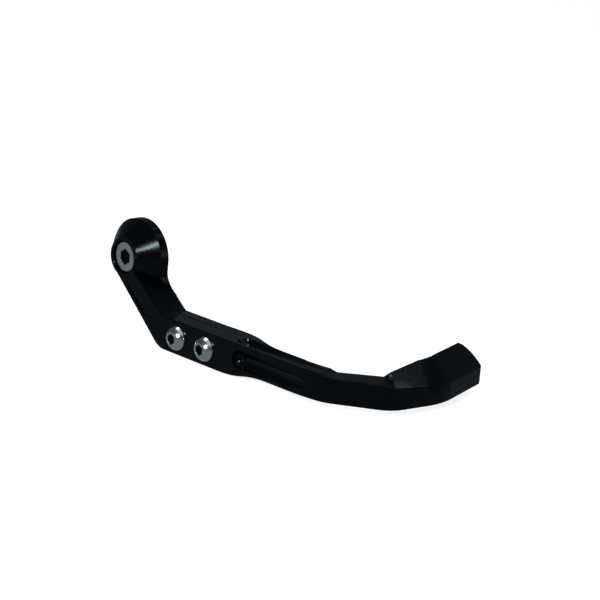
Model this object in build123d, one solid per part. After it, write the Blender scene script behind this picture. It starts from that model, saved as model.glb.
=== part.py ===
from build123d import *
from math import asin, atan2, cos, degrees, hypot, radians, sin, tan
import os

# Brake lever guard: an arm clamped to the end of a handlebar carries a bent blade that shields the lever.
# The origin is the centre of the boss's rear seat, on the bolt axis. +Y runs inwards along the bolt into
# the bar end, -Y is the outer face, +X points along the joint and the blade, and +Z is up. Millimetres.

# Bar end boss
boss_depth = 12.0              # rear seat to front face
pad_radius = 8.3
collar_depth = 0.8             # short straight rim round the pad
flare_radius = 14.1
flare_depth = 5.8              # front face to the foot of the flare
rim_radius = 15.8
rim_bevel = 1.8
boss_edge = 0.2

# Leg from the boss down to the joint
leg_foot_margin = 4.5          # arm's shoulder back to the leg's lower corner
leg_taper = 3.5                # the right edge falls this many degrees less than the left
leg_foot_width = 11.2
leg_overhang = 2.2             # rear face behind the seat
leg_outer_radius = 9.0
leg_inner_radius = 2.5
leg_root_radius = 12.0         # fillets between the boss and the leg's sides
seat_relief_radius = 24.0      # where the leg's rear has sloped back from the seat to its full depth
pocket_depth = 0.55
pocket_left_rim = 2.0
pocket_right_rib = 3.6
pocket_boss_gap = 3.0          # pad edge to the pocket's curved end
pocket_foot_gap = 2.8          # pocket's straight end below the joint's top
pocket_corner = 1.2

# Lap joint
joint_drop = 26.0              # bolt axis down to the screw line
joint_height = 14.3
lap_thickness = 8.0
screw_reach = 36.9             # bolt axis to the first screw
screw_pitch = 17.3
lap_margin = 6.9               # first screw back to the arm's shoulder
tongue_end_radius = 7.2
lap_clearance = 0.1
edge_break = 0.3

# Blade: neck, bar, then four bent runs in plan, each with a length, a heading and the bend that leads into it
neck_margin = 8.0              # second screw to the start of the neck
neck_length = 28.0
bar_height = 11.1
blade_thickness = 9.1
bar_reach = 109.0              # bolt axis to the first bend
sweep_length = 10.85
sweep_heading = 9.5
sweep_bend = 80.0
flare_run_length = 26.3
flare_run_heading = 34.5
flare_run_bend = 15.0
palm_length = 24.6
palm_heading = 78.5
palm_bend = 13.0
tip_length = 33.6
tip_heading = 103.7
tip_bend = 32.0
tip_inner_round = 8.0
tip_outer_round = 0.8
flare_run_drop = 1.0           # top of the flare run below the bar's top
flare_run_lift = 0.6           # its inner edge's climb towards the knee
knee_share = 0.75              # of the bend into the palm, where the palm's sloping top begins
knee_outer_drop = 2.3          # edges of the palm's top where it begins, below and above the bar's top
knee_inner_rise = 1.5
palm_outer_drop = 3.55         # edges of the palm's top where it ends
palm_inner_rise = 5.1
tip_outer_drop = 3.7
tip_inner_rise = 5.9
top_cut_overlap = 1.0          # how far the cut above the blade reaches past its faces
bend_sections = 5

# Flutes: ball-nosed cuts that start deep beside the neck and run out before the bends
front_flute_radius = 3.9
front_flute_depth = 3.3
front_flute_start = 74.3
front_flute_end = 118.0
front_flute_drop = 6.2         # flute centre below the bar's top
top_flute_radius = 3.9
top_flute_depth = 2.8
top_flute_start = 72.4
top_flute_end = 119.0
top_flute_inset = 5.4          # flute centre behind the front face

# Fasteners
bolt_size = 8.0
bolt_shank_diameter = 7.2      # plain shank through the boss
bolt_length = 16.0
bolt_head_diameter = 13.0
bolt_head_height = 5.0
bolt_key = 6.0
bolt_key_depth = 3.0
bolt_head_recess = 1.0
bolt_head_clearance = 0.5
screw_size = 6.0
screw_length = 14.0
screw_head_diameter = 10.5
screw_head_height = 3.3
screw_head_crown = 5.8         # flat on top of the button
screw_head_rim = 0.6
screw_key = 4.0
screw_key_depth = 2.1
hole_clearance = 0.2
thread_clearance = 0.05
tip_chamfer_share = 0.12       # of a fastener's diameter

# Places worked out from the sizes
front_y = -boss_depth
rear_y = leg_overhang
seam_y = front_y + lap_thickness
joint_top = -joint_drop + joint_height / 2
joint_bottom = -joint_drop - joint_height / 2
bar_bottom = joint_top - bar_height
shoulder_x = screw_reach - lap_margin
second_screw_x = screw_reach + screw_pitch
neck_start_x = second_screw_x + neck_margin
neck_end_x = neck_start_x + neck_length
bar_end_x = bar_reach - sweep_bend * tan(radians(sweep_heading) / 2)
head_floor_y = front_y + bolt_head_recess + bolt_head_height
crest_top = joint_top + tip_inner_rise
reach = 2 * (bar_reach + flare_run_length + palm_length + tip_length)


def along_y(sketch, start, end):
    """Solid of an XZ outline, from y = start to y = end."""
    return extrude(Plane.XZ.offset(-end) * sketch, amount=end - start)


def rod_y(radius, start, end, x=0.0, z=0.0):
    return along_y(Pos(x, z) * Circle(radius), start, end)


def heading(degrees):
    return Vector(cos(radians(degrees)), sin(radians(degrees)))


def left_of(degrees):
    return Vector(-sin(radians(degrees)), cos(radians(degrees)))


def line_crossing(slope, distance, z):
    """Point at height z on the line that falls at slope and passes this far above and right of the bolt axis."""
    return ((distance - z * cos(radians(slope))) / sin(radians(slope)), z)


def line_foot(slope, distance):
    """Point of such a line that is nearest to the bolt axis."""
    return (distance * sin(radians(slope)), distance * cos(radians(slope)))


def leg_lines():
    """Slope and distance of the leg's left edge, tangent to the pad, and of its right edge."""
    corner_x = shoulder_x - leg_foot_margin
    slope = degrees(atan2(-joint_bottom, corner_x) - asin(pad_radius / hypot(corner_x, joint_bottom)))
    inner_x, _ = line_crossing(slope, leg_foot_width - pad_radius, joint_top)
    right_slope = slope - leg_taper
    right = inner_x * sin(radians(right_slope)) + joint_top * cos(radians(right_slope))
    return (slope, -pad_radius), (right_slope, right)


def boss_profile():
    """Radius and depth of the boss's turned edges, from the front pad to the rear edge of the rim."""
    return [
        (pad_radius, front_y),
        (pad_radius, front_y + collar_depth),
        (flare_radius, front_y + flare_depth),
        (rim_radius, front_y + flare_depth + rim_bevel),
        (rim_radius, -boss_edge),
    ]


def boss():
    outline = Polyline((0, front_y), *boss_profile(), (rim_radius - boss_edge, 0), (0, 0), close=True)
    return revolve(make_face(outline), Axis.Y)


def leg_outline():
    left, right = leg_lines()
    return make_face(
        FilletPolyline(
            line_foot(*left),
            line_crossing(*left, joint_bottom),
            (shoulder_x, joint_bottom),
            (shoulder_x, joint_top),
            line_crossing(*right, joint_top),
            line_foot(*right),
            radius=[0, leg_outer_radius, 0, 0, leg_inner_radius, 0],
            close=True,
        )
    )


def root_outline(line, side):
    """Corner between the boss's rim and a side of the leg, rounded off."""
    slope, distance = line
    down = Vector(cos(radians(slope)), -sin(radians(slope)))
    across = Vector(sin(radians(slope)), cos(radians(slope)))
    offset = distance + side * leg_root_radius
    reach_down = ((rim_radius + leg_root_radius) ** 2 - offset**2) ** 0.5
    centre = down * reach_down + across * offset
    on_boss = centre * (rim_radius / (rim_radius + leg_root_radius))
    on_leg = centre - across * (side * leg_root_radius)
    middle = centre + ((on_boss + on_leg) / 2 - centre).normalized() * leg_root_radius
    outline = [
        ThreePointArc(on_boss, middle, on_leg),
        Polyline(on_leg, on_leg - across * (side * edge_break), (0, 0), on_boss),
    ]
    return make_face(outline)


def flare_cone():
    """Cone of the flare, carried on to the leg's rear."""
    start_y = front_y + collar_depth
    growth = (flare_radius - pad_radius) / (flare_depth - collar_depth)
    end_radius = pad_radius + growth * (rear_y - start_y)
    outline = Polyline((0, start_y), (pad_radius, start_y), (end_radius, rear_y), (0, rear_y), close=True)
    return revolve(make_face(outline), Axis.Y)


def root_fillets():
    """Boss run into the leg's two sides, with the flare carried on over the fillets."""
    left, right = leg_lines()
    roots = along_y(root_outline(left, -1), front_y, rear_y) + along_y(root_outline(right, 1), front_y, rear_y)
    return roots & flare_cone()


def seat_relief():
    """Behind the seat, with a cone by which the leg's rear slopes back to its full depth."""
    outline = Polyline((0, 0), (rim_radius + edge_break, 0), (seat_relief_radius, rear_y), (0, rear_y), close=True)
    return revolve(make_face(outline), Axis.Y)


def outer_edges(face):
    """Edges of an arm face that are bare: not at the shoulder, on the tongue's fitted end or inside the boss."""
    bare = []
    for edge in face.edges():
        middle = edge @ 0.5
        fitted = abs(middle.X - shoulder_x) < lap_clearance or middle.X > second_screw_x
        if not fitted and hypot(middle.X, middle.Z) > pad_radius:
            bare.append(edge)
    return bare


def leg_and_tongue():
    """Full leg up to the shoulder in front of the seam, leg and tongue in one behind it."""
    front = along_y(leg_outline(), front_y, seam_y)
    front = chamfer(outer_edges(front.faces().sort_by(Axis.Y)[0]), edge_break)
    rear = along_y(leg_outline() + tongue_outline(0), seam_y, rear_y)
    rear = chamfer(outer_edges(rear.faces().sort_by(Axis.Y)[-1]), edge_break)
    return front + rear


def leg_pocket():
    left, right = leg_lines()
    foot_z = joint_top - pocket_foot_gap
    left_wall = (left[0], left[1] + pocket_left_rim)
    right_wall = (right[0], right[1] - pocket_right_rib)
    outline = make_face(
        Polyline(
            line_foot(*left_wall),
            line_crossing(*left_wall, foot_z),
            line_crossing(*right_wall, foot_z),
            line_foot(*right_wall),
            close=True,
        )
    )
    outline -= Circle(pad_radius + pocket_boss_gap)
    outline = fillet(outline.vertices(), pocket_corner)
    return along_y(outline, front_y, front_y + pocket_depth)


def tongue_outline(gap):
    """Round-ended tongue behind the lap; the gap widens its end for the blade's pocket."""
    length = second_screw_x - shoulder_x
    slab = Pos(shoulder_x + length / 2, -joint_drop) * Rectangle(length, joint_height)
    end = Pos(second_screw_x, -joint_drop) * Circle(tongue_end_radius + gap)
    strip = Pos(shoulder_x, -joint_drop) * Rectangle(2 * reach, joint_height)
    return slab + (end & strip)


def seam_groove():
    """Fine V groove where the lap's seam comes out on the joint's top."""
    line = Plane(origin=(shoulder_x, seam_y, joint_top), x_dir=(0, 1, 0), z_dir=(1, 0, 0))
    square = Rot(0, 0, 45) * Rectangle(edge_break * 2**0.5, edge_break * 2**0.5)
    return extrude(line * square, amount=second_screw_x - shoulder_x)


def mounting_arm():
    arm = boss() + leg_and_tongue() + root_fillets()
    arm -= seat_relief()
    arm -= rod_y(bolt_head_diameter / 2 + bolt_head_clearance, front_y, head_floor_y)
    arm -= rod_y(bolt_size / 2 + hole_clearance, head_floor_y, rear_y)
    arm -= leg_pocket()
    arm -= seam_groove()
    for x in (screw_reach, second_screw_x):
        arm -= rod_y(screw_size / 2 + thread_clearance, seam_y, rear_y, x, -joint_drop)
    return arm


def blade_runs():
    """Length, heading and bend radius of each run of the blade's outer face, from the bar outwards."""
    return [
        (sweep_length, sweep_heading, sweep_bend),
        (flare_run_length, flare_run_heading, flare_run_bend),
        (palm_length, palm_heading, palm_bend),
        (tip_length, tip_heading, tip_bend),
    ]


def blade_bends():
    """Start, heading, radius and turn of each bend of the outer face, and the corner at the blade's end."""
    bends = []
    corner = Vector(bar_reach, front_y)
    before = 0.0
    for length, after, radius in blade_runs():
        setback = radius * tan(radians(after - before) / 2)
        bends.append((corner - heading(before) * setback, before, radius, after - before))
        corner += heading(after) * length
        before = after
    return bends, corner


def blade_side(bends, start, end, depth):
    """Edges of the blade's face at this depth behind the outer face, from start to end."""
    edges = []
    place = start
    for bend_start, angle, radius, turn in bends:
        arc = JernArc(bend_start + left_of(angle) * depth, heading(angle), radius - depth, turn)
        edges += [Line(place, arc @ 0), arc]
        place = arc @ 1
    return edges + [Line(place, end)]


def blade_plan():
    bends, tip = blade_bends()
    lap_start = shoulder_x + lap_clearance
    bar_rear_y = front_y + blade_thickness
    tip_inner = tip + left_of(tip_heading) * blade_thickness
    middle_x = (neck_start_x + neck_end_x) / 2
    neck = Bezier(
        (neck_start_x, rear_y), (middle_x, rear_y), (middle_x, bar_rear_y), (neck_end_x, bar_rear_y)
    )
    edges = blade_side(bends, Vector(lap_start, front_y), tip, 0)
    edges += [Line(tip, tip_inner)]
    edges += blade_side(bends, Vector(neck_end_x, bar_rear_y), tip_inner, blade_thickness)
    edges += [neck, Polyline((neck_start_x, rear_y), (lap_start, rear_y), (lap_start, front_y))]
    plan = make_face(edges)
    plan = fillet(plan.vertices().sort_by_distance(tip_inner)[0], tip_inner_round)
    return fillet(plan.vertices().sort_by_distance(tip)[0], tip_outer_round)


def blade_elevation():
    """Joint, neck and bar seen from the front, with room for the raised tip past the first bend."""
    middle_x = (neck_start_x + neck_end_x) / 2
    neck = Bezier(
        (neck_start_x, joint_bottom), (middle_x, joint_bottom), (middle_x, bar_bottom), (neck_end_x, bar_bottom)
    )
    rest = Polyline(
        (neck_end_x, bar_bottom),
        (reach, bar_bottom),
        (reach, crest_top),
        (bar_end_x, crest_top),
        (bar_end_x, joint_top),
        (0, joint_top),
        (0, joint_bottom),
        (neck_start_x, joint_bottom),
    )
    return make_face([neck, rest])


def top_section(place, angle, outer_top, inner_top):
    """Upright section of what is cut from above, across the blade at a point of its outer face."""
    rise = (inner_top - outer_top) / blade_thickness
    inner_break = blade_thickness - edge_break
    upright = Plane(origin=(place.X, place.Y, 0), x_dir=left_of(angle), z_dir=heading(angle))
    roof = crest_top + boss_depth
    outline = Polyline(
        (-top_cut_overlap, outer_top - edge_break - top_cut_overlap),
        (edge_break, outer_top + rise * edge_break),
        (inner_break, inner_top - rise * edge_break),
        (blade_thickness + top_cut_overlap, inner_top - edge_break - top_cut_overlap),
        (blade_thickness + top_cut_overlap, roof),
        (-top_cut_overlap, roof),
        close=True,
    )
    return upright * make_face(outline)


def across_bend(bend, share):
    """Point and heading of the blade's outer face at a share of a bend."""
    start, angle, radius, turn = bend
    here = angle + turn * share
    return start + (left_of(angle) - left_of(here)) * radius, here


def bend_cut(bend, share, before, after):
    """Solid above the blade from a bend's start to a share of it, while its upper edges change height."""
    sections = []
    for step in range(bend_sections):
        part = step / (bend_sections - 1)
        heights = [first + (last - first) * part for first, last in zip(before, after)]
        sections.append(top_section(*across_bend(bend, share * part), *heights))
    return loft(sections)


def blade_top_cuts():
    """Solids above the bent runs, which set the slope of the blade's top from the bar to the raised tip."""
    bends, tip_corner = blade_bends()
    sweep, flare_run, palm, tip = bends
    flat = (joint_top, joint_top)
    low = (joint_top - flare_run_drop, joint_top - flare_run_drop)
    lifted = (low[0], low[1] + flare_run_lift)
    knee = (joint_top - knee_outer_drop, joint_top + knee_inner_rise)
    palm_end = (joint_top - palm_outer_drop, joint_top + palm_inner_rise)
    crest = (joint_top - tip_outer_drop, joint_top + tip_inner_rise)
    past_tip = tip_corner + heading(tip_heading) * blade_thickness
    runs = [
        (across_bend(sweep, 1), flat, across_bend(flare_run, 0), flat),
        (across_bend(flare_run, 1), low, across_bend(palm, 0), lifted),
        (across_bend(palm, knee_share), knee, across_bend(tip, 0), palm_end),
        (across_bend(tip, 1), crest, (past_tip, tip_heading), crest),
    ]
    cuts = [
        bend_cut(sweep, 1, flat, flat),
        bend_cut(flare_run, 1, flat, low),
        bend_cut(palm, knee_share, lifted, knee),
        bend_cut(tip, 1, palm_end, crest),
    ]
    for start, start_top, end, end_top in runs:
        cuts.append(loft([top_section(*start, *start_top), top_section(*end, *end_top)], ruled=True))
    return cuts


def flute(start, end, radius):
    """Ball-nosed cutter along a straight line."""
    path = Plane(origin=start, z_dir=end - start)
    body = path * extrude(Circle(radius), amount=(end - start).length)
    return body + Pos(start) * Sphere(radius)


def front_flute():
    z = joint_top - front_flute_drop
    start = Vector(front_flute_start, front_y + front_flute_depth - front_flute_radius, z)
    return flute(start, Vector(front_flute_end, front_y - front_flute_radius, z), front_flute_radius)


def top_flute():
    y = front_y + top_flute_inset
    start = Vector(top_flute_start, y, joint_top - top_flute_depth + top_flute_radius)
    return flute(start, Vector(top_flute_end, y, joint_top + top_flute_radius), top_flute_radius)


def underside_edges(blade):
    """Edges round the blade's underside: those of its downward faces that upright faces share."""
    upright = [edge for face in blade.faces() if abs(face.normal_at().Z) < 0.01 for edge in face.edges()]
    below = [edge for face in blade.faces() if face.normal_at().Z < -0.5 for edge in face.edges()]
    return [edge for edge in below if edge in upright and abs((edge % 0.5).X) + abs((edge % 0.5).Y) > 0.5]


def bar_top_break():
    """Chamfer along the upper front edge of the joint and the bar."""
    corner = Polyline(
        (front_y, joint_top), (front_y + edge_break, joint_top), (front_y, joint_top - edge_break), close=True
    )
    start = Plane(origin=(shoulder_x, 0, 0), x_dir=(0, 1, 0), z_dir=(1, 0, 0))
    return extrude(start * make_face(corner), amount=bar_end_x - shoulder_x)


def guard_blade():
    height = crest_top - joint_bottom
    blade = extrude(Pos(0, 0, joint_bottom) * blade_plan(), amount=height)
    blade &= along_y(blade_elevation(), -reach, reach)
    blade = chamfer(underside_edges(blade), edge_break)
    for cut in blade_top_cuts():
        blade -= cut
    blade -= bar_top_break()
    blade -= along_y(tongue_outline(lap_clearance), seam_y, rear_y)
    blade -= seam_groove()
    blade -= front_flute()
    blade -= top_flute()
    for x in (screw_reach, second_screw_x):
        blade -= rod_y(screw_size / 2 + hole_clearance, front_y, seam_y, x, -joint_drop)
    return blade


def hex_socket(across_flats, depth):
    """Key socket opening towards -Y from y = 0."""
    hexagon = RegularPolygon(across_flats / 2, 6, major_radius=False)
    return along_y(hexagon, 0, depth)


def fastener(head, head_height, size, length, key, key_depth):
    """Head outline that starts at y = 0, the threaded shank behind it and a key socket in the head."""
    chamfer_size = size * tip_chamfer_share
    head_end = head[-1] @ 1
    shank = [
        (size / 2, head_end.Y),
        (size / 2, length - chamfer_size),
        (size / 2 - chamfer_size, length),
        (0, length),
        (0, -head_height),
    ]
    body = revolve(make_face(head + [Polyline(head_end, *shank)]), Axis.Y)
    return body - Pos(0, -head_height, 0) * hex_socket(key, key_depth)


def bar_end_bolt():
    radius = bolt_head_diameter / 2
    head = Polyline(
        (0, -bolt_head_height),
        (radius - edge_break, -bolt_head_height),
        (radius, edge_break - bolt_head_height),
        (radius, 0),
        (bolt_shank_diameter / 2, 0),
        (bolt_shank_diameter / 2, -head_floor_y),
    )
    bolt = fastener([head], bolt_head_height, bolt_size, bolt_length, bolt_key, bolt_key_depth)
    return Pos(0, head_floor_y, 0) * bolt


def joint_screw(x):
    radius = screw_head_diameter / 2
    crown = (screw_head_crown / 2, -screw_head_height)
    rim = (radius, -screw_head_rim)
    depth_to_centre = (hypot(*rim) ** 2 - hypot(*crown) ** 2) / (2 * (screw_head_height - screw_head_rim))
    dome_radius = hypot(radius, screw_head_rim + depth_to_centre)
    head = [
        Line((0, -screw_head_height), crown),
        RadiusArc(crown, rim, -dome_radius),
        Line(rim, (radius, 0)),
    ]
    screw = fastener(head, screw_head_height, screw_size, screw_length, screw_key, screw_key_depth)
    return Pos(x, front_y, -joint_drop) * screw


parts = {
    "mounting_arm": mounting_arm(),
    "guard_blade": guard_blade(),
    "bar_end_bolt": bar_end_bolt(),
    "joint_screw_rear": joint_screw(screw_reach),
    "joint_screw_front": joint_screw(second_screw_x),
}

os.makedirs("parts", exist_ok=True)
for name, shape in parts.items():
    export_step(shape, f"parts/{name}.step")
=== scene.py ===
from math import cos, hypot, pi, radians, sin, sqrt

import bmesh
import bpy
from mathutils import Matrix, Vector


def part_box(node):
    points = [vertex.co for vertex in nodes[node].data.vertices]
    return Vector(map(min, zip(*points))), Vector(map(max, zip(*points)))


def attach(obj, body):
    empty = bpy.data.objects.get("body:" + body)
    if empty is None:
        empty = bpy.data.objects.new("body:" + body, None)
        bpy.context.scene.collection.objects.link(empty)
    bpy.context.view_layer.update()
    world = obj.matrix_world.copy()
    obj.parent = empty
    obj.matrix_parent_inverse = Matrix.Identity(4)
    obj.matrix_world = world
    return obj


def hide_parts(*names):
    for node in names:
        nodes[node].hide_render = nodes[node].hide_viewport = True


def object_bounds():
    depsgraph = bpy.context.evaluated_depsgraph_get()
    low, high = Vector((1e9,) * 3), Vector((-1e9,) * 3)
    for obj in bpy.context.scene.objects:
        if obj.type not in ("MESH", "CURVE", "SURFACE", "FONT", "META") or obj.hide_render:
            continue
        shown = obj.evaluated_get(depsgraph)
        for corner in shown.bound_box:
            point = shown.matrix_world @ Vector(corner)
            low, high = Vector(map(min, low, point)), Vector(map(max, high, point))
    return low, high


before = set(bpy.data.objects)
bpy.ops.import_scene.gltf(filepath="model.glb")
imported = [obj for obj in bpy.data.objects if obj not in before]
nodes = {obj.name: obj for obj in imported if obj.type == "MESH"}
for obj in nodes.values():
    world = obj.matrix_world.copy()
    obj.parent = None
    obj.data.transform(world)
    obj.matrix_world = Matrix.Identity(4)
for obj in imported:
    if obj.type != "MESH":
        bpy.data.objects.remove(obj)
cad_low, cad_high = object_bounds()

# Camera, fitted to the fasteners and straight edges of the photograph
camera_place = Vector((0.5080, -0.4329, 0.1672))
camera_azimuth = radians(43.74)
camera_elevation = radians(15.35)
camera_roll = radians(4.5)
camera_lens = 96.0
sensor_width = 36.0

# Stage
floor_size = 12.0
floor_gap = 0.0002
floor_glow = 0.85
floor_colour = (0.40, 0.40, 0.40, 1.0)
world_level = 0.35

# Lamps: direction from the object, distance in metres, width and height in metres, power in watts
stage_centre = Vector((0.06, 0.01, -0.015))
lamps = {
    "front_softbox": {"towards": (0.39, -0.80, 0.46), "away": 1.0, "size": (0.24, 0.24), "power": 7.0},
    "overhead_softbox": {"towards": (-0.30, 0.0, 0.95), "away": 1.0, "size": (0.44, 0.30), "power": 2.5},
}

# Grey cards that only reflections see, so that the black faces keep their tones: the same, with a grey level
cards = {
    "back_card": {"towards": (-0.15, 0.95, 0.38), "away": 1.4, "size": (4.0, 2.2), "level": 0.10},
    "left_card": {"towards": (-0.90, -0.25, 0.45), "away": 1.4, "size": (3.0, 2.2), "level": 0.08},
    "ceiling_card": {"towards": (0.0, 0.10, 1.0), "away": 1.6, "size": (4.0, 4.0), "level": 0.60},
    "paddle_card": {"towards": (0.0, 0.67, 0.74), "away": 1.0, "size": (0.32, 0.32), "level": 1.0},
    "paddle_end_card": {"towards": (0.26, 0.607, 0.751), "away": 1.03, "size": (0.32, 0.20), "level": 0.55},
    "leg_card": {"towards": (-0.136, 0.563, 0.815), "away": 0.247, "size": (0.06, 0.06), "level": 0.04},
    "front_card": {"towards": (-0.15, -0.70, 0.70), "away": 1.3, "size": (1.6, 0.9), "level": 0.08},
    "right_card": {"towards": (0.72, -0.62, 0.25), "away": 1.5, "size": (4.0, 1.3), "level": 0.07},
}
card_tint = (0.88, 1.0, 1.10, 1.0)

# Two such sheets just over the floor, in front of and behind a seam at this y, the rear one darker
table_cards = {
    "front_table_card": {"side": -1, "level": 0.22},
    "rear_table_card": {"side": 1, "level": 0.14},
}
table_seam = 0.04
table_card_size = 2.4
table_card_gap = 0.0001

# Finishes
anodised_colour = (0.0008, 0.0011, 0.0015, 1.0)
anodised_sheen = (0.65, 0.88, 1.0, 1.0)
anodised_specular = 0.16
anodised_roughness = 0.13
anodised_roughness_spread = 0.04
anodised_mottle_scale = 140.0
anodised_mottle_detail = 4.0
anodised_grain_scale = 5200.0
anodised_grain_strength = 0.25
steel_colour = (0.59, 0.64, 0.60, 1.0)
steel_roughness = 0.18
steel_roughness_spread = 0.08
steel_mottle_scale = 600.0
steel_mottle_detail = 3.0
steel_grain_scale = 1800.0
steel_grain_strength = 0.6
grain_detail = 2.0
grain_height = 0.00002
# Painted shade: a near-black colour for the walls and floor of the key sockets, standing in for the shade
# that falls in them
painted_socket_shade_colour = (0.004, 0.004, 0.004, 1.0)
painted_socket_shade_roughness = 0.6
painted_socket_shade_specular = 0.1
white = (1.0, 1.0, 1.0, 1.0)
black = (0.0, 0.0, 0.0, 1.0)

# Fasteners, in millimetres along their axis from the underside of the head
mm = 0.001
ring_points = 96
sharp_angle = radians(32)
key_mouth = 0.15
tip_chamfer_share = 0.12
bolt_head_diameter = 13.0
bolt_head_height = 5.0
bolt_edge = 0.45
edge_steps = 6
bolt_key = 6.0
bolt_key_depth = 3.0
bolt_size = 8.0
bolt_shank_diameter = 7.2
bolt_shank_length = 6.0
bolt_length = 16.0
thread_pitch = 1.25
thread_depth = 0.70
thread_flank_rise = 2.4
thread_steps = 10
screw_head_diameter = 10.5
screw_head_height = 3.3
screw_head_crown = 5.8
screw_head_rim = 0.6
screw_key = 4.0
screw_key_depth = 2.1
screw_size = 6.0
screw_length = 14.0
dome_steps = 16
# Material slots: plain steel, and painted shade for the inside of the sockets
steel_slot = 0
painted_socket_shade_slot = 1


def new_material(name):
    material = bpy.data.materials.new(name)
    material.use_nodes = True
    return material, material.node_tree.nodes["Principled BSDF"]


def noise(tree, scale, detail, vector):
    node = tree.nodes.new("ShaderNodeTexNoise")
    node.inputs["Scale"].default_value = scale
    node.inputs["Detail"].default_value = detail
    tree.links.new(vector, node.inputs["Vector"])
    return node.outputs["Fac"]


def spread(tree, factor, low, high):
    """Maps a factor from 0..1 to low..high."""
    node = tree.nodes.new("ShaderNodeMapRange")
    node.inputs["To Min"].default_value = low
    node.inputs["To Max"].default_value = high
    tree.links.new(factor, node.inputs["Value"])
    return node.outputs["Result"]


def add_mottle(tree, shader, place, scale, detail, roughness, roughness_spread):
    """Roughness that varies a little from place to place."""
    mottle = noise(tree, scale, detail, place)
    varied = spread(tree, mottle, roughness - roughness_spread, roughness + roughness_spread)
    tree.links.new(varied, shader.inputs["Roughness"])


def add_grain(tree, shader, place, scale, strength):
    """Fine bumps of the surface."""
    node = tree.nodes.new("ShaderNodeBump")
    node.inputs["Distance"].default_value = grain_height
    node.inputs["Strength"].default_value = strength
    tree.links.new(noise(tree, scale, grain_detail, place), node.inputs["Height"])
    tree.links.new(node.outputs["Normal"], shader.inputs["Normal"])


def anodised_material(name):
    """Black anodised alloy: a fine blasted grain under a satin dye layer."""
    material, shader = new_material(name)
    tree = material.node_tree
    place = tree.nodes.new("ShaderNodeTexCoord").outputs["Object"]
    shader.inputs["Base Color"].default_value = anodised_colour
    shader.inputs["Specular IOR Level"].default_value = anodised_specular
    shader.inputs["Specular Tint"].default_value = anodised_sheen
    add_mottle(tree, shader, place, anodised_mottle_scale, anodised_mottle_detail,
               anodised_roughness, anodised_roughness_spread)
    add_grain(tree, shader, place, anodised_grain_scale, anodised_grain_strength)
    return material


def steel_material(name):
    """Plain stainless steel with a fine turned grain."""
    material, shader = new_material(name)
    tree = material.node_tree
    place = tree.nodes.new("ShaderNodeTexCoord").outputs["Object"]
    shader.inputs["Base Color"].default_value = steel_colour
    shader.inputs["Metallic"].default_value = 1.0
    add_mottle(tree, shader, place, steel_mottle_scale, steel_mottle_detail,
               steel_roughness, steel_roughness_spread)
    add_grain(tree, shader, place, steel_grain_scale, steel_grain_strength)
    return material


def painted_socket_shade_material(name):
    """Painted shade: a near-black colour for the inside of the key sockets, where shade falls."""
    material, shader = new_material(name)
    shader.inputs["Base Color"].default_value = painted_socket_shade_colour
    shader.inputs["Roughness"].default_value = painted_socket_shade_roughness
    shader.inputs["Specular IOR Level"].default_value = painted_socket_shade_specular
    return material


def turn_angles():
    return [2 * pi * step / ring_points for step in range(ring_points)]


def ring(radii, along):
    """Ring of points about the fastener's axis, one radius for each angle from +Z."""
    return [(radius * sin(angle), along, radius * cos(angle)) for radius, angle in zip(radii, turn_angles())]


def circle_ring(radius, along):
    return ring([radius] * ring_points, along)


def hexagon_ring(across_flats, along):
    sixth = pi / 3
    return ring([across_flats / 2 / cos(angle % sixth - sixth / 2) for angle in turn_angles()], along)


def socket_rings(key, depth, top):
    """Hexagon from the socket's floor up to the head's top, and its rounded mouth."""
    mouth = key / sqrt(3) + key_mouth
    return [hexagon_ring(key, top + depth), hexagon_ring(key, top + key_mouth), circle_ring(mouth, top)]


def thread_ring(along, start, end, size):
    """Ring across a right-hand thread, cut off by the chamfer at its end."""
    chamfer = size / 2 - size * tip_chamfer_share + (end - along)
    radii = []
    for angle in turn_angles():
        phase = ((along - start) / thread_pitch - angle / (2 * pi)) % 1
        crest = min(1.0, thread_flank_rise * min(phase, 1 - phase))
        radii.append(min(size / 2 - thread_depth * (1 - crest), chamfer))
    return ring(radii, along)


def bolt_rings():
    """Low-head socket bolt from its socket's floor to the end of its thread."""
    radius = bolt_head_diameter / 2
    top = -bolt_head_height
    rings = socket_rings(bolt_key, bolt_key_depth, top)
    for step in range(edge_steps + 1):
        turn = pi / 2 * step / edge_steps
        rings.append(circle_ring(radius - bolt_edge * (1 - sin(turn)), top + bolt_edge * (1 - cos(turn))))
    rings.append(circle_ring(radius, 0))
    rings.append(circle_ring(bolt_shank_diameter / 2, 0))
    rings.append(circle_ring(bolt_shank_diameter / 2, bolt_shank_length))
    count = round((bolt_length - bolt_shank_length) / thread_pitch * thread_steps)
    for step in range(count + 1):
        along = bolt_shank_length + (bolt_length - bolt_shank_length) * step / count
        rings.append(thread_ring(along, bolt_shank_length, bolt_length, bolt_size))
    return rings


def screw_rings():
    """Button-head screw: crown, dome, rim and shank."""
    radius = screw_head_diameter / 2
    crown = screw_head_crown / 2
    top = -screw_head_height
    rise = screw_head_height - screw_head_rim
    centre = (hypot(radius, screw_head_rim) ** 2 - hypot(crown, screw_head_height) ** 2) / (2 * rise)
    dome = hypot(radius, screw_head_rim + centre)
    rings = socket_rings(screw_key, screw_key_depth, top)
    for step in range(dome_steps + 1):
        along = top + rise * step / dome_steps
        rings.append(circle_ring(sqrt(dome**2 - (centre - along) ** 2), along))
    rings.append(circle_ring(radius, 0))
    rings.append(circle_ring(screw_size / 2, 0))
    chamfer = screw_size * tip_chamfer_share
    rings.append(circle_ring(screw_size / 2, screw_length - chamfer))
    rings.append(circle_ring(screw_size / 2 - chamfer, screw_length))
    return rings


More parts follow.
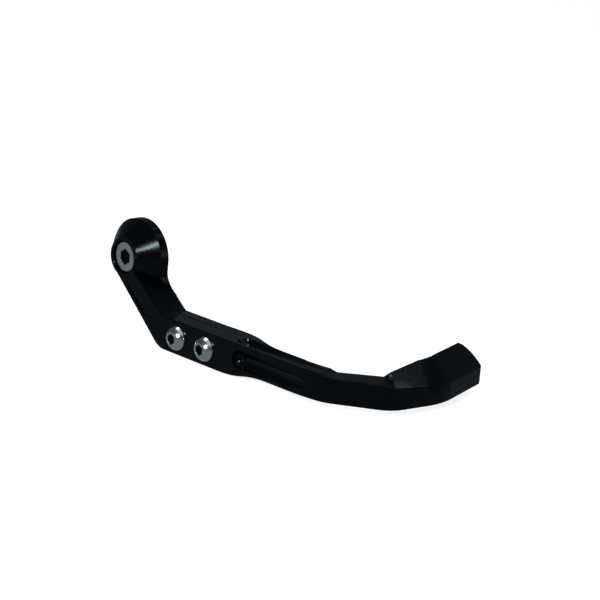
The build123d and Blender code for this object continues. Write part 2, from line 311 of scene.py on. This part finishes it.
def fastener_mesh(name, rings, place):
    """Closed mesh through the rings, with painted shade on the socket's walls and floor."""
    solid = bmesh.new()
    loops = [[solid.verts.new(place + Vector(point) * mm) for point in points] for points in rings]
    for level, (first, second) in enumerate(zip(loops, loops[1:])):
        for here in range(ring_points):
            following = (here + 1) % ring_points
            face = solid.faces.new((first[here], first[following], second[following], second[here]))
            # The socket's walls and floor take the painted shade, the rest plain steel
            face.material_index = painted_socket_shade_slot if level == 0 else steel_slot
    solid.faces.new(loops[0]).material_index = painted_socket_shade_slot
    solid.faces.new(loops[-1])
    bmesh.ops.recalc_face_normals(solid, faces=solid.faces)
    mesh = bpy.data.meshes.new(name)
    solid.to_mesh(mesh)
    solid.free()
    mesh.materials.append(steel)
    mesh.materials.append(painted_socket_shade)
    mesh.shade_smooth()
    mesh.set_sharp_from_angle(angle=sharp_angle)
    return mesh


def make_fastener(name, node, rings, head_height):
    """Detailed fastener in the place of a plain one."""
    low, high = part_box(node)
    place = Vector(((low.x + high.x) / 2, low.y + head_height * mm, (low.z + high.z) / 2))
    piece = bpy.data.objects.new(name, fastener_mesh(name, rings, place))
    bpy.context.scene.collection.objects.link(piece)
    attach(piece, "root")
    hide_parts(node)


def dress(node, material):
    mesh = nodes[node].data
    mesh.materials.clear()
    mesh.materials.append(material)


def seen_directly(tree):
    """Factor of 1 for rays that come from the camera, a reflection or glass."""
    path = tree.nodes.new("ShaderNodeLightPath")
    first = tree.nodes.new("ShaderNodeMath")
    first.operation = "MAXIMUM"
    tree.links.new(path.outputs["Is Camera Ray"], first.inputs[0])
    tree.links.new(path.outputs["Is Glossy Ray"], first.inputs[1])
    second = tree.nodes.new("ShaderNodeMath")
    second.operation = "MAXIMUM"
    tree.links.new(first.outputs["Value"], second.inputs[0])
    tree.links.new(path.outputs["Is Transmission Ray"], second.inputs[1])
    return second.outputs["Value"]


def make_world():
    world = bpy.data.worlds.new("studio_world")
    bpy.context.scene.world = world
    world.use_nodes = True
    tree = world.node_tree
    background = tree.nodes["Background"]
    background.inputs["Color"].default_value = white
    level = spread(tree, seen_directly(tree), world_level, 1.0)
    tree.links.new(level, background.inputs["Strength"])


def make_sheet(name, size, material):
    """Flat rectangle of the stage, facing +Z."""
    mesh = bpy.data.meshes.new(name)
    half_width, half_height = size[0] / 2, size[1] / 2
    corners = [(-1, -1), (1, -1), (1, 1), (-1, 1)]
    mesh.from_pydata([(x * half_width, y * half_height, 0) for x, y in corners], [], [(0, 1, 2, 3)])
    mesh.materials.append(material)
    sheet = bpy.data.objects.new(name, mesh)
    bpy.context.scene.collection.objects.link(sheet)
    return sheet


def floor_material():
    """Paper that keeps a faint shadow, with a glow that brings it to white where it is seen."""
    material, shader = new_material("floor_paper")
    tree = material.node_tree
    shader.inputs["Base Color"].default_value = floor_colour
    shader.inputs["Roughness"].default_value = 1.0
    shader.inputs["Specular IOR Level"].default_value = 0.0
    shader.inputs["Emission Color"].default_value = white
    glow = spread(tree, seen_directly(tree), 0.0, floor_glow)
    tree.links.new(glow, shader.inputs["Emission Strength"])
    return material


def make_floor():
    floor = make_sheet("floor", (floor_size, floor_size), floor_material())
    floor.location.z = cad_low.z - floor_gap


def card_material(name, level):
    material, shader = new_material(name)
    shader.inputs["Base Color"].default_value = black
    shader.inputs["Specular IOR Level"].default_value = 0.0
    shader.inputs["Emission Color"].default_value = card_tint
    shader.inputs["Emission Strength"].default_value = level
    return material


def only_reflected(sheet):
    sheet.visible_camera = False
    sheet.visible_diffuse = False
    sheet.visible_shadow = False


def facing(towards, away):
    """Place and turn of something that looks back at the object from this direction."""
    direction = Vector(towards).normalized()
    return stage_centre + direction * away, direction.to_track_quat("Z", "Y")


def make_lamp(name, towards, away, size, power):
    light = bpy.data.lights.new(name, "AREA")
    light.shape = "RECTANGLE"
    light.size, light.size_y = size
    light.energy = power
    lamp = bpy.data.objects.new(name, light)
    lamp.rotation_mode = "QUATERNION"
    lamp.location, lamp.rotation_quaternion = facing(towards, away)
    bpy.context.scene.collection.objects.link(lamp)


def make_card(name, towards, away, size, level):
    card = make_sheet(name, size, card_material(name, level))
    card.rotation_mode = "QUATERNION"
    card.location, card.rotation_quaternion = facing(towards, away)
    only_reflected(card)


def make_table_card(name, side, level):
    card = make_sheet(name, (table_card_size, table_card_size), card_material(name, level))
    middle = table_seam + side * table_card_size / 2
    card.location = (stage_centre.x, middle, cad_low.z - table_card_gap)
    only_reflected(card)


def make_camera():
    camera = bpy.data.objects.new("camera", bpy.data.cameras.new("camera"))
    bpy.context.scene.collection.objects.link(camera)
    camera.data.lens = camera_lens
    camera.data.sensor_width = sensor_width
    level = cos(camera_elevation)
    to_eye = Vector((sin(camera_azimuth) * level, -cos(camera_azimuth) * level, sin(camera_elevation)))
    right = Vector((cos(camera_azimuth), sin(camera_azimuth), 0.0))
    up = to_eye.cross(right)
    turned_right = right * cos(camera_roll) + up * sin(camera_roll)
    turned_up = up * cos(camera_roll) - right * sin(camera_roll)
    turn = Matrix((turned_right, turned_up, to_eye)).transposed()
    camera.matrix_world = Matrix.Translation(camera_place) @ turn.to_4x4()
    bpy.context.scene.camera = camera


anodised = anodised_material("black_anodised")
steel = steel_material("stainless_steel")
# Painted shade for the insides of the sockets
painted_socket_shade = painted_socket_shade_material("socket_painted_shade")
for name in ("mounting_arm", "guard_blade"):
    dress(name, anodised)
make_fastener("threaded_bolt", "bar_end_bolt", bolt_rings(), bolt_head_height)
make_fastener("button_screw_rear", "joint_screw_rear", screw_rings(), screw_head_height)
make_fastener("button_screw_front", "joint_screw_front", screw_rings(), screw_head_height)

make_world()
make_floor()
for name, card in table_cards.items():
    make_table_card(name, **card)
for name, card in cards.items():
    make_card(name, **card)
for name, lamp in lamps.items():
    make_lamp(name, **lamp)
make_camera()
bpy.context.scene.view_settings.view_transform = "Standard"
